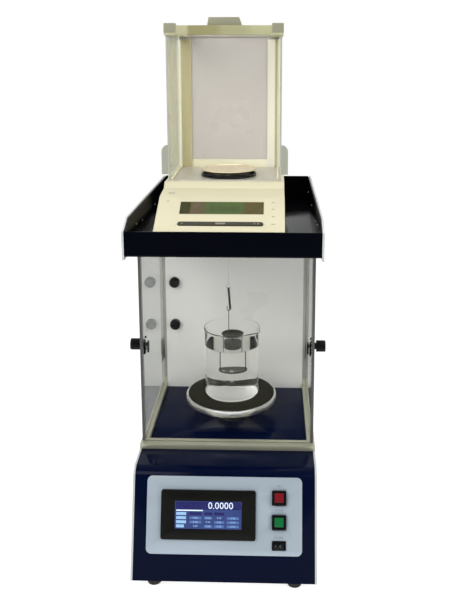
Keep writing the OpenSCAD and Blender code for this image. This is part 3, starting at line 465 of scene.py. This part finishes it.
# Width of the rounded edge on the nodes that show sharp sheet or moulded edges, in millimetres
EDGE_OF = {
    "front_cover": 0.5, "top_plate": 0.4, "left_side_panel": 0.8, "right_side_panel": 0.8, "rear_panel": 0.5,
    "control_panel": 0.5, "display_unit": 0.8, "switch_bezels": 0.5, "power_rocker": 0.4, "stage_disc": 0.4,
    "cabinet_frame": 0.5, "tray_front": 0.7, "tray_side_plates": 0.9, "tray_pan": 0.5, "balance_base": 1.2,
    "balance_cover": 1.6, "balance_key_bar": 0.6, "chamber_rear_frame": 1.0, "chamber_top_frame": 0.8,
    "mains_inlet": 0.5, "left_latch_knob": 0.4, "right_latch_knob": 0.4, "column_shell": 0.6,
    "fixed_door_hardware": 0.5, "rubber_feet": 0.6,
}


def soft_edges_group():
    """Geometry nodes that shade the CAD mesh smooth except at its real edges."""
    group = bpy.data.node_groups.new("soft_edges", "GeometryNodeTree")
    group.interface.new_socket("Geometry", in_out="INPUT", socket_type="NodeSocketGeometry")
    group.interface.new_socket("Geometry", in_out="OUTPUT", socket_type="NodeSocketGeometry")
    make, link = group.nodes.new, group.links.new
    entry, leave = make("NodeGroupInput"), make("NodeGroupOutput")
    angle, compare = make("GeometryNodeInputMeshEdgeAngle"), make("FunctionNodeCompare")
    faces, edges = make("GeometryNodeSetShadeSmooth"), make("GeometryNodeSetShadeSmooth")
    edges.domain = "EDGE"
    compare.data_type = "FLOAT"
    compare.operation = "LESS_THAN"
    compare.inputs["B"].default_value = SMOOTH_BELOW
    link(angle.outputs["Unsigned Angle"], compare.inputs["A"])
    link(entry.outputs["Geometry"], faces.inputs["Geometry"])
    link(faces.outputs["Geometry"], edges.inputs["Geometry"])
    link(compare.outputs["Result"], edges.inputs["Shade Smooth"])
    link(edges.outputs["Geometry"], leave.inputs["Geometry"])
    return group


SOFT_EDGES = soft_edges_group()


def dress(node, material, edge):
    """Gives a CAD node its finish, rounded edges and smooth shading."""
    made = nodes[node]
    if made.material_slots:
        for place in made.material_slots:
            place.material = material
    else:
        made.data.materials.append(material)
    weld = made.modifiers.new("weld", "WELD")
    weld.merge_threshold = WELD_WITHIN
    if edge:
        bevel = made.modifiers.new("edges", "BEVEL")
        bevel.width = edge * MM
        bevel.segments = 2
        bevel.limit_method = "ANGLE"
        bevel.angle_limit = ROUND_ABOVE
    smooth = made.modifiers.new("smooth", "NODES")
    smooth.node_group = SOFT_EDGES


for node, material in FINISH_OF.items():
    dress(node, material, EDGE_OF.get(node, 0))


# ---------------------------------------------------------------- clear panels

def clear_panel(node, body, glass, edge, box=None):
    """A clear sheet in place of a CAD pane, with another finish on its upright edges."""
    low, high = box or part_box(node)
    thin = min(range(3), key=lambda i: high[i] - low[i])
    chamfer = 0.5 * MM
    bm = bmesh.new()
    add_block(bm, low, high, chamfer, segments=1)
    bm.normal_update()
    for face in bm.faces:
        broad, level = abs(face.normal[thin]) > 0.9, abs(face.normal.z) > 0.5
        face.material_index = 0 if broad or level else 1
    made = piece(node + "_sheet", bm, body, glass, edge)
    made.visible_shadow = False
    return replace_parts(made, node)


for side in ("left", "right"):
    clear_panel(side + "_door", side + "_door", ACRYLIC, ACRYLIC_EDGE)
clear_panel("front_window", "housing", WINDOW, ACRYLIC_EDGE)
clear_panel("chamber_front_glass", "housing", CHAMBER_GLASS, CHAMBER_EDGE)


def side_glass(side, sign):
    """A sliding glass door of the weighing chamber with its moulded pull."""
    node = side + "_glass_door"
    low, high = (Vector(c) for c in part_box(node))
    if sign > 0:
        pane_low, pane_high = low, Vector((low.x + GLASS_T, high.y, high.z))
    else:
        pane_low, pane_high = Vector((high.x - GLASS_T, low.y, low.z)), high
    clear_panel(node, side + "_glass", SIDE_GLASS, CHAMBER_EDGE, box=(pane_low, pane_high))
    pull_d, pull_h, pull_t, pull_edge = 12 * MM, 53 * MM, 6 * MM, 1 * MM
    outer = pane_high.x if sign > 0 else pane_low.x
    front, foot = low.y + 5 * MM, low.z + 10.6 * MM
    outline = [(0, 0), (pull_d, 0), *arc(0, pull_h - pull_d, pull_d, 0, 90, 10)]
    move = Matrix(((sign, 0, 0, outer), (0, 0, 1, front), (0, 1, 0, foot), (0, 0, 0, 1)))
    bm = bmesh.new()
    add_prism(bm, outline, pull_t, pull_edge, move=move)
    piece(side + "_glass_pull", bm, side + "_glass", PULL_GREY)


side_glass("left", -1)
side_glass("right", 1)


def top_glass():
    """The sliding top glass with its trapezoid pull."""
    low, high = (Vector(c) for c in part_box("top_glass_door"))
    clear_panel("top_glass_door", "top_glass", CHAMBER_GLASS, CHAMBER_EDGE,
                box=(low, Vector((high.x, high.y, low.z + GLASS_T))))
    middle = (low.x + high.x) / 2 + 1.5 * MM
    tall, thick, rear, edge = 16 * MM, 12 * MM, low.y + 13.6 * MM, 1.2 * MM
    outline = [(-31 * MM, 0), (31 * MM, 0), (25 * MM, tall), (-28 * MM, tall)]
    move = at(middle, rear, low.z + GLASS_T) @ Matrix.Rotation(math.pi / 2, 4, "X")
    bm = bmesh.new()
    add_prism(bm, outline, thick, edge, move=move)
    piece("top_glass_pull", bm, "top_glass", GREY_OLIVE)


top_glass()


# ---------------------------------------------------------------- beaker and water

def beaker():
    """Low form beaker with a rolled rim and a spout, its scale, and the water in it."""
    low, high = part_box("beaker")
    rim_proud, wall, floor_t, foot = 1.8 * MM, 1.6 * MM, 2.2 * MM, 4.5 * MM
    radius = (high.x - low.x) / 2 - rim_proud
    height = high.z - low.z
    inner = radius - wall
    # The water climbs a little way up the glass
    top, climb = WATER_LEVEL - low.z, 1.8 * MM
    section = [(0, 1.2 * MM), (radius * 0.62, 0.9 * MM), (radius - 6 * MM, 0),
               *arc(radius - foot, foot, foot, -80, 0, 8), (radius, height - 7 * MM),
               *arc(radius + 4 * MM, height - 5.5 * MM, 4 * MM, 180, 125, 4),
               *arc(radius + 0.8 * MM, height - 0.95 * MM, 0.95 * MM, -20, 160, 6),
               (inner, height - 6 * MM), (inner, top + climb),
               *arc(inner - 3 * MM, floor_t + 3 * MM, 3 * MM, 0, -90, 6), (0, floor_t)]
    spout_at, spout_half = math.radians(-25), math.radians(24)
    spout_out, spout_tall, spout_drop = 6 * MM, 16 * MM, 1.5 * MM
    bm = bmesh.new()
    add_lathe(bm, section, steps=128)
    for v in bm.verts:
        lift = (v.co.z - (height - spout_tall)) / spout_tall
        turn = math.atan2(v.co.y, v.co.x) - spout_at
        turn = (turn + math.pi) % (2 * math.pi) - math.pi
        if lift > 0 and abs(turn) < spout_half and v.co.xy.length > inner * 0.9:
            share = math.cos(turn / spout_half * math.pi / 2) ** 2 * lift ** 2
            out = Vector((math.cos(spout_at), math.sin(spout_at), 0)) * spout_out * share
            v.co += out + Vector((0, 0, -spout_drop * share))
    bm.normal_update()
    near = 0.1 * MM
    for f in bm.faces:
        spot = f.calc_center_median()
        if spot.xy.length < inner + near and floor_t - near < spot.z < top + climb - near:
            f.material_index = 1
    middle = at((low.x + high.x) / 2, (low.y + high.y) / 2, low.z)
    made = piece("beaker_glass", bm, "stage", BEAKER_GLASS, WET_GLASS, sharp=60, move=middle)
    made.visible_shadow = False
    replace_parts(made, "beaker")

    # The wet inside of the glass is the side of the water; only its upper face is a piece of its own
    bm = bmesh.new()
    add_lathe(bm, [(inner, top + climb), (inner - 0.5 * MM, top + climb / 2),
                   (inner - 1.3 * MM, top + climb / 6), (inner - 3 * MM, top), (0, top)], steps=128)
    made = piece("beaker_water", bm, "stage", WATER, sharp=60, move=middle)
    made.visible_shadow = False
    if made.data.polygons[0].normal.z < 0:
        made.data.flip_normals()

    # The scale is drawn flat and then bent round the glass
    face = radius + 0.05 * MM
    lowest, pitch, left, half = 34 * MM, 10 * MM, -16 * MM, 0.3 * MM
    bm = bmesh.new()
    for i in range(8):
        right = left + (12 if i % 2 == 0 else 7) * MM
        add_prism(bm, [(left, -half), (right, -half), (right, half), (left, half)], INK,
                  move=at(0, lowest + i * pitch))
    for i in range(3):
        add_text(bm, str(200 + 200 * i), 5.5 * MM, move=at(2.5 * MM, lowest + (2 * i + 1) * pitch))
    for v in bm.verts:
        a = v.co.x / face - math.pi / 2
        r = face + v.co.z
        v.co = Vector((r * math.cos(a), r * math.sin(a), v.co.y))
    piece("beaker_scale", bm, "stage", INK_WHITE, move=middle)


beaker()


# ---------------------------------------------------------------- control panel

def display_content():
    """Header bar with plain zeros, and a table of plain bars and figures on the blue display."""
    middle = on_slope(FRONT, "display_glass")
    width, height = 114 * MM, 45.5 * MM
    first_row, row_step = 0.40, 0.15
    columns = [(0.22, 0.40), (0.44, 0.56), (0.59, 0.74), (0.78, 0.96)]
    base = FRONT @ at(middle.x, middle.y, DISPLAY_FACE)
    bm = bmesh.new()

    def bar(x0, x1, y0, y1, slot):
        """A bar given in shares of the display from its upper left corner."""
        a, b = (x0 - 0.5) * width, (x1 - 0.5) * width
        c, d = (0.5 - y1) * height, (0.5 - y0) * height
        add_prism(bm, [(a, c), (b, c), (b, d), (a, d)], INK, slot=slot, move=base)

    bar(0.01, 0.99, 0.02, 0.30, 0)
    bar(0.02, 0.42, 0.315, 0.355, 2)
    for row in range(4):
        top = first_row + row * row_step
        bar(0.02, 0.17 - 0.03 * (row == 3), top, top + 0.105, 3)
        for column, (x0, x1) in enumerate(columns):
            if row == 0 and column < 3:
                bar(x0, x1, top, top + 0.10, 0)
            elif (row + column) % 4 != 3:
                bar(x0, x1, top + 0.01, top + 0.10, 1)
    for row in range(3):
        for x in (0.31, 0.50, 0.665, 0.87):
            figures = at((x - 0.5) * width, (0.5 - 0.60 - row * row_step) * height, INK)
            add_text(bm, "0.00", 4.6 * MM, slot=3, move=base @ figures)
    add_text(bm, "0.0000", 16 * MM, slot=2, move=base @ at(0.185 * width, 0.335 * height, INK))
    piece("display_content", bm, "housing", DISPLAY_BAR, DISPLAY_CELL, DISPLAY_WHITE, DISPLAY_CYAN)


display_content()


def button_cap(color, lens):
    """A square push button: black surround with a glowing lens, bevelled."""
    node = color + "_button"
    middle = on_slope(FRONT, node)
    side, lens_side, proud = 18 * MM, 15.4 * MM, 9.4 * MM
    surround_t, lens_t = 3.4 * MM, 4.2 * MM
    bm = bmesh.new()
    move = FRONT @ at(middle.x, middle.y, proud - lens_t)
    add_prism(bm, rounded_outline(side, side, 1.5 * MM), surround_t, 0.5 * MM, move=move)
    add_prism(bm, rounded_outline(lens_side, lens_side, 1.2 * MM), lens_t, 0.9 * MM, segments=3,
              slot=1, move=move)

    # Fine studs that the lens is moulded with
    pitch, stud = 2 * MM, 1.5 * MM
    outline = rounded_outline(stud, stud, 0.2 * MM, 1)
    for i in range(-3, 4):
        for j in range(-3, 4):
            dot = FRONT @ at(middle.x + i * pitch, middle.y + j * pitch, proud - 0.04 * MM)
            add_prism(bm, outline, 0.1 * MM, 0.05 * MM, 1, slot=1, move=dot)

    # Its body behind the panel
    reach, inner, outer = 6 * MM, -14.7 * MM, 3.3 * MM
    add_lathe(bm, [(0, inner), (reach, inner), (reach, outer), (0, outer)], 48,
              move=FRONT @ at(middle.x, middle.y, PANEL_T))
    made = piece(color + "_cap", bm, node, SWITCH_BLACK, lens)
    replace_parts(made, node)


button_cap("red", RED_LENS)
button_cap("green", GREEN_LENS)


def panel_legends():
    """Small plain words over the switches."""
    bm = bmesh.new()
    gap = {"red_button": ("UP", 17.6), "green_button": ("DOWN", 17.6), "power_rocker": ("POWER", 12.6)}
    for node, (words, above) in gap.items():
        middle = on_slope(FRONT, node)
        add_text(bm, words, 4.4 * MM, move=FRONT @ at(middle.x, middle.y + above * MM, PANEL_T))
    piece("panel_legends", bm, "housing", LEGEND)


panel_legends()


def rocker_marks():
    """The line and ring on the two halves of the rocker."""
    middle = on_slope(FRONT, "power_rocker")
    rest, lean = math.radians(-7), math.radians(8)
    tilt = FRONT @ at(middle.x, middle.y, -1 * MM) @ Matrix.Rotation(rest, 4, "Y")
    aside, face = 4.6 * MM, 6.3 * MM
    left = tilt @ at(-aside, 0, face) @ Matrix.Rotation(-lean, 4, "Y")
    right = tilt @ at(aside, 0, face) @ Matrix.Rotation(lean, 4, "Y")
    proud, half, tall = 0.2 * MM, 0.3 * MM, 1.8 * MM
    inner, outer = 1.3 * MM, 1.9 * MM
    bm = bmesh.new()
    add_prism(bm, [(-half, -tall), (half, -tall), (half, tall), (-half, tall)], proud, move=left)
    add_lathe(bm, [(inner, 0), (outer, 0), (outer, proud), (inner, proud), (inner, 0)], 32, move=right)
    piece("rocker_marks", bm, "power_rocker", LEGEND)


rocker_marks()


# ---------------------------------------------------------------- balance

def balance_marks():
    """Figures on the balance display, the marks of the key bar, and faint marks on the console."""
    lcd = on_slope(CONSOLE, "balance_display")
    bm = bmesh.new()
    add_text(bm, "0.0000", 18 * MM, move=CONSOLE @ at(lcd.x + 5 * MM, lcd.y - 3 * MM, LCD_FACE))
    piece("balance_figures", bm, "housing", LCD_DIGIT)

    bar = on_slope(CONSOLE, "balance_key_bar")
    face = CONSOLE @ at(bar.x, bar.y, 1 * MM)
    dot = [(0, 0), (1.5 * MM, 0), (1.3 * MM, 0.2 * MM), (0, 0.25 * MM)]
    bm = bmesh.new()
    for x in (-63, 62, 56):
        add_lathe(bm, dot, 24, move=face @ at(x * MM))
    add_prism(bm, rounded_outline(17 * MM, 4.5 * MM, 2 * MM), 0.2 * MM, 0.08 * MM, move=face)
    piece("key_bar_marks", bm, "key_bar", KEY_MARK)

    # Each mark: x, distance up the console, width
    marks = [(80.9, 78.4, 5), (80.9, 60.1, 5), (80.9, 40.5, 5), (80.9, 20.7, 7), (-94.2, 104.1, 12),
             (-98.0, 81.4, 5)]
    bm = bmesh.new()
    for x, y, wide in marks:
        add_prism(bm, rounded_outline(wide * MM, 1.8 * MM, 0.7 * MM, 3), INK,
                  move=CONSOLE @ at(x * MM - CONSOLE_START.x, y * MM))
    piece("console_marks", bm, "housing", FAINT)


balance_marks()


def chamber_rails():
    """The two pale rails that run back along the chamber floor, just inside the side glass."""
    low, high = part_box("chamber_floor")
    aside, wide, tall, edge = 0.6 * MM, 3.5 * MM, 3 * MM, 0.8 * MM
    front, rear = low.y + 1 * MM, high.y - 0.5 * MM
    bm = bmesh.new()
    for x in (low.x + aside, high.x - aside - wide):
        add_block(bm, (x, front, high.z), (x + wide, rear, high.z + tall), edge)
    piece("chamber_rails", bm, "housing", CREAM)


chamber_rails()


def under_pan():
    """The black carrier under the pan, and the black floor inside the ring below it."""
    ring_low, ring_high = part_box("draft_ring")
    middle = at((ring_low.x + ring_high.x) / 2, (ring_low.y + ring_high.y) / 2)
    reach = (ring_high.x - ring_low.x) / 2

    hole, edge, base = 8 * MM, reach - 5 * MM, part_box("chamber_floor")[1].z
    top = base + 0.6 * MM
    bm = bmesh.new()
    add_lathe(bm, [(hole, base), (edge, base), (edge, top), (hole, top), (hole, base)], move=middle)
    piece("ring_floor", bm, "housing", KNOB_BLACK)

    hole, thick, top = 5 * MM, 1.6 * MM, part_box("weighing_pan")[1].z - 3 * MM
    bm = bmesh.new()
    add_lathe(bm, [(hole, top), (hole, top - thick), (reach - 3 * MM, top - thick),
                   (reach - 2 * MM, top - thick / 2), (reach - 1.5 * MM, top), (hole, top)], move=middle)
    piece("pan_carrier", bm, "pan", KNOB_BLACK)


under_pan()


def corner_caps():
    """Grey moulded caps on the front corners of the chamber's top frame."""
    low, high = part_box("chamber_top_frame")
    deep, tall, wide, skin, edge = 16 * MM, 17 * MM, 20 * MM, 0.25 * MM, 1.4 * MM
    for side, x0, x1 in (("left", low.x, low.x + wide), ("right", high.x - wide, high.x)):
        bm = bmesh.new()
        add_block(bm, (x0 - skin, low.y - skin, high.z - tall),
                  (x1 + skin, low.y + deep + skin, high.z + skin), edge, segments=3)
        piece(side + "_corner_cap", bm, "housing", GREY_OLIVE)


corner_caps()


# ---------------------------------------------------------------- screws

def add_screw(bm, place, radius, head=1.2 * MM):
    """A pan head with a cross recess, its seat on the z 0 plane of place."""
    rim = 0.35
    turns = [math.radians(a) for a in (0, 25, 50, 72)]
    dome = [(radius * math.cos(a), head * (rim + (1 - rim) * math.sin(a))) for a in turns]
    section = [(0, 0), (radius, 0), (radius, head * rim), *dome, (0, head)]
    add_lathe(bm, section, 28, move=place)
    for turn in (0, 90):
        slot_box = bmesh.new()
        bmesh.ops.create_cube(slot_box, size=1)
        slot_box.transform(Matrix.Rotation(math.radians(turn), 4, "Z") @ at(0, 0, head * 0.98)
                           @ Matrix.Diagonal((radius * 1.1, radius * 0.24, head * 0.12, 1)))
        for face in slot_box.faces:
            face.material_index = 1
        slot_box.transform(place)
        merge(bm, slot_box)


def screws():
    """Fixing screws of the tray plates, the rear panel, the column and the door latches."""
    right_in = Matrix.Rotation(math.pi / 2, 4, "Y")
    left_in = Matrix.Rotation(-math.pi / 2, 4, "Y")
    back_out = Matrix.Rotation(-math.pi / 2, 4, "X")
    large, small, corner = 3 * MM, 2.2 * MM, 10 * MM

    low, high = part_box("tray_side_plates")
    wall = 6 * MM
    spots = [(-185, 592), (-120, 606), (-60, 600), (90, 600), (240, 600)]
    bm = bmesh.new()
    for y, z in spots:
        add_screw(bm, at(high.x, y * MM, z * MM) @ right_in, large)
        add_screw(bm, at(low.x, y * MM, z * MM) @ left_in, large)
    for y, z in spots:
        add_screw(bm, at(high.x - wall, y * MM, z * MM) @ left_in, small)
        add_screw(bm, at(low.x + wall, y * MM, z * MM) @ right_in, small)
    piece("tray_screws", bm, "housing", STEEL, KNOB_BLACK)

    low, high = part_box("rear_panel")
    bm = bmesh.new()
    for x in (low.x + corner, high.x - corner):
        for z in (low.z + corner, high.z - corner):
            add_screw(bm, at(x, high.y, z) @ back_out, large)
    low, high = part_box("column_shell")
    for x in (low.x + corner, high.x - corner):
        for z in (225, 380, 545):
            add_screw(bm, at(x, high.y, z * MM) @ back_out, large)
    piece("rear_screws", bm, "housing", STEEL, KNOB_BLACK)

    latch_y, latch_z, aside, above = -104 * MM, 380 * MM, 7.8 * MM, 10.8 * MM
    for side, face, turn in (("left", 1, right_in), ("right", 0, left_in)):
        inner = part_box(side + "_door")[face].x
        bm = bmesh.new()
        for y in (-aside, aside):
            for z in (-above, above):
                add_screw(bm, at(inner, latch_y + y, latch_z + z) @ turn, small, head=2 * MM)
        piece(side + "_latch_screws", bm, side + "_door", KNOB_BLACK, KNOB_BLACK)


screws()


# ---------------------------------------------------------------- stage, lights, camera

def floor():
    """A plain white floor that keeps the shadow."""
    half_side, paint, glow_strength = 4.0, (0.62, 0.63, 0.64, 1), 0.74
    bm = bmesh.new()
    bmesh.ops.create_grid(bm, x_segments=8, y_segments=8, size=half_side)
    mesh = bpy.data.meshes.new("floor")
    bm.to_mesh(mesh)
    bm.free()
    material = bpy.data.materials.new("floor_white")
    material.use_nodes = True
    tree = material.node_tree
    tree.nodes.clear()
    out = tree.nodes.new("ShaderNodeOutputMaterial")
    matt = tree.nodes.new("ShaderNodeBsdfDiffuse")
    matt.inputs["Color"].default_value = paint
    glow = tree.nodes.new("ShaderNodeEmission")
    rays = tree.nodes.new("ShaderNodeLightPath")
    seen = tree.nodes.new("ShaderNodeMath")
    seen.operation = "MAXIMUM"
    strength = tree.nodes.new("ShaderNodeMath")
    strength.operation = "MULTIPLY"
    strength.inputs[1].default_value = glow_strength
    total = tree.nodes.new("ShaderNodeAddShader")
    mirrored = tree.nodes.new("ShaderNodeMath")
    mirrored.operation = "MAXIMUM"
    tree.links.new(rays.outputs["Is Camera Ray"], seen.inputs[0])
    tree.links.new(rays.outputs["Is Transmission Ray"], seen.inputs[1])
    tree.links.new(seen.outputs["Value"], mirrored.inputs[0])
    tree.links.new(rays.outputs["Is Glossy Ray"], mirrored.inputs[1])
    tree.links.new(mirrored.outputs["Value"], strength.inputs[0])
    tree.links.new(strength.outputs["Value"], glow.inputs["Strength"])
    tree.links.new(matt.outputs["BSDF"], total.inputs[0])
    tree.links.new(glow.outputs["Emission"], total.inputs[1])
    tree.links.new(total.outputs["Shader"], out.inputs["Surface"])
    mesh.materials.append(material)
    made = bpy.data.objects.new("floor", mesh)
    SCENE.collection.objects.link(made)


def world():
    """White to the camera and through glass, and a softer studio for light and gloss."""
    room_light, dark_side, bright_side = 0.45, 0.16, 1.0
    made = bpy.data.worlds.new("studio")
    made.use_nodes = True
    SCENE.world = made
    tree = made.node_tree
    tree.nodes.clear()
    out = tree.nodes.new("ShaderNodeOutputWorld")
    coords = tree.nodes.new("ShaderNodeTexCoord")
    split = tree.nodes.new("ShaderNodeSeparateXYZ")
    tree.links.new(coords.outputs["Generated"], split.inputs["Vector"])
    depth = tree.nodes.new("ShaderNodeMapRange")
    depth.inputs["From Min"].default_value = -0.7
    depth.inputs["From Max"].default_value = 0.5
    depth.inputs["To Min"].default_value = dark_side
    depth.inputs["To Max"].default_value = bright_side
    tree.links.new(split.outputs["Y"], depth.inputs["Value"])
    rays = tree.nodes.new("ShaderNodeLightPath")
    # Soft room light on matt surfaces; in gloss and metal the backdrop, which fades towards the dark side
    level = tree.nodes.new("ShaderNodeMix")
    level.data_type = "FLOAT"
    level.inputs["A"].default_value = room_light
    tree.links.new(rays.outputs["Is Glossy Ray"], level.inputs["Factor"])
    tree.links.new(depth.outputs["Result"], level.inputs["B"])
    room = tree.nodes.new("ShaderNodeBackground")
    room.inputs["Color"].default_value = (0.98, 0.99, 1.0, 1)
    tree.links.new(level.outputs["Result"], room.inputs["Strength"])
    white = tree.nodes.new("ShaderNodeBackground")
    white.inputs["Color"].default_value = (1, 1, 1, 1)
    seen = tree.nodes.new("ShaderNodeMath")
    seen.operation = "MAXIMUM"
    tree.links.new(rays.outputs["Is Camera Ray"], seen.inputs[0])
    tree.links.new(rays.outputs["Is Transmission Ray"], seen.inputs[1])
    blend = tree.nodes.new("ShaderNodeMixShader")
    tree.links.new(seen.outputs["Value"], blend.inputs["Fac"])
    tree.links.new(room.outputs["Background"], blend.inputs[1])
    tree.links.new(white.outputs["Background"], blend.inputs[2])
    tree.links.new(blend.outputs["Shader"], out.inputs["Surface"])


def lamp(name, place, size, power):
    """A soft rectangular lamp that faces the middle of the object."""
    data = bpy.data.lights.new(name, "AREA")
    data.shape = "RECTANGLE"
    data.size, data.size_y = size
    data.energy = power
    made = bpy.data.objects.new(name, data)
    made.location = place
    made.rotation_euler = (MIDDLE - Vector(place)).to_track_quat("-Z", "Y").to_euler()
    SCENE.collection.objects.link(made)


def camera():
    """The photograph's camera, fitted to the object's edges and corners."""
    data = bpy.data.cameras.new("camera")
    data.lens = 46.2
    data.sensor_width = 36
    data.shift_x, data.shift_y = -0.0292, -0.16
    made = bpy.data.objects.new("camera", data)
    made.location = (0.0815, -1.4225, 0.8955)
    made.rotation_euler = (math.pi / 2 - 0.19125, 0, 0.03133)
    SCENE.collection.objects.link(made)
    SCENE.camera = made


floor()
world()
lamp("key", (-1.3, -1.8, 1.8), (1.1, 1.1), 20)
lamp("fill", (1.6, -1.5, 1.2), (1.2, 1.2), 10)
lamp("top", (0.1, 0.2, 2.4), (1.4, 1.0), 9)
camera()
SCENE.view_settings.view_transform = "Standard"
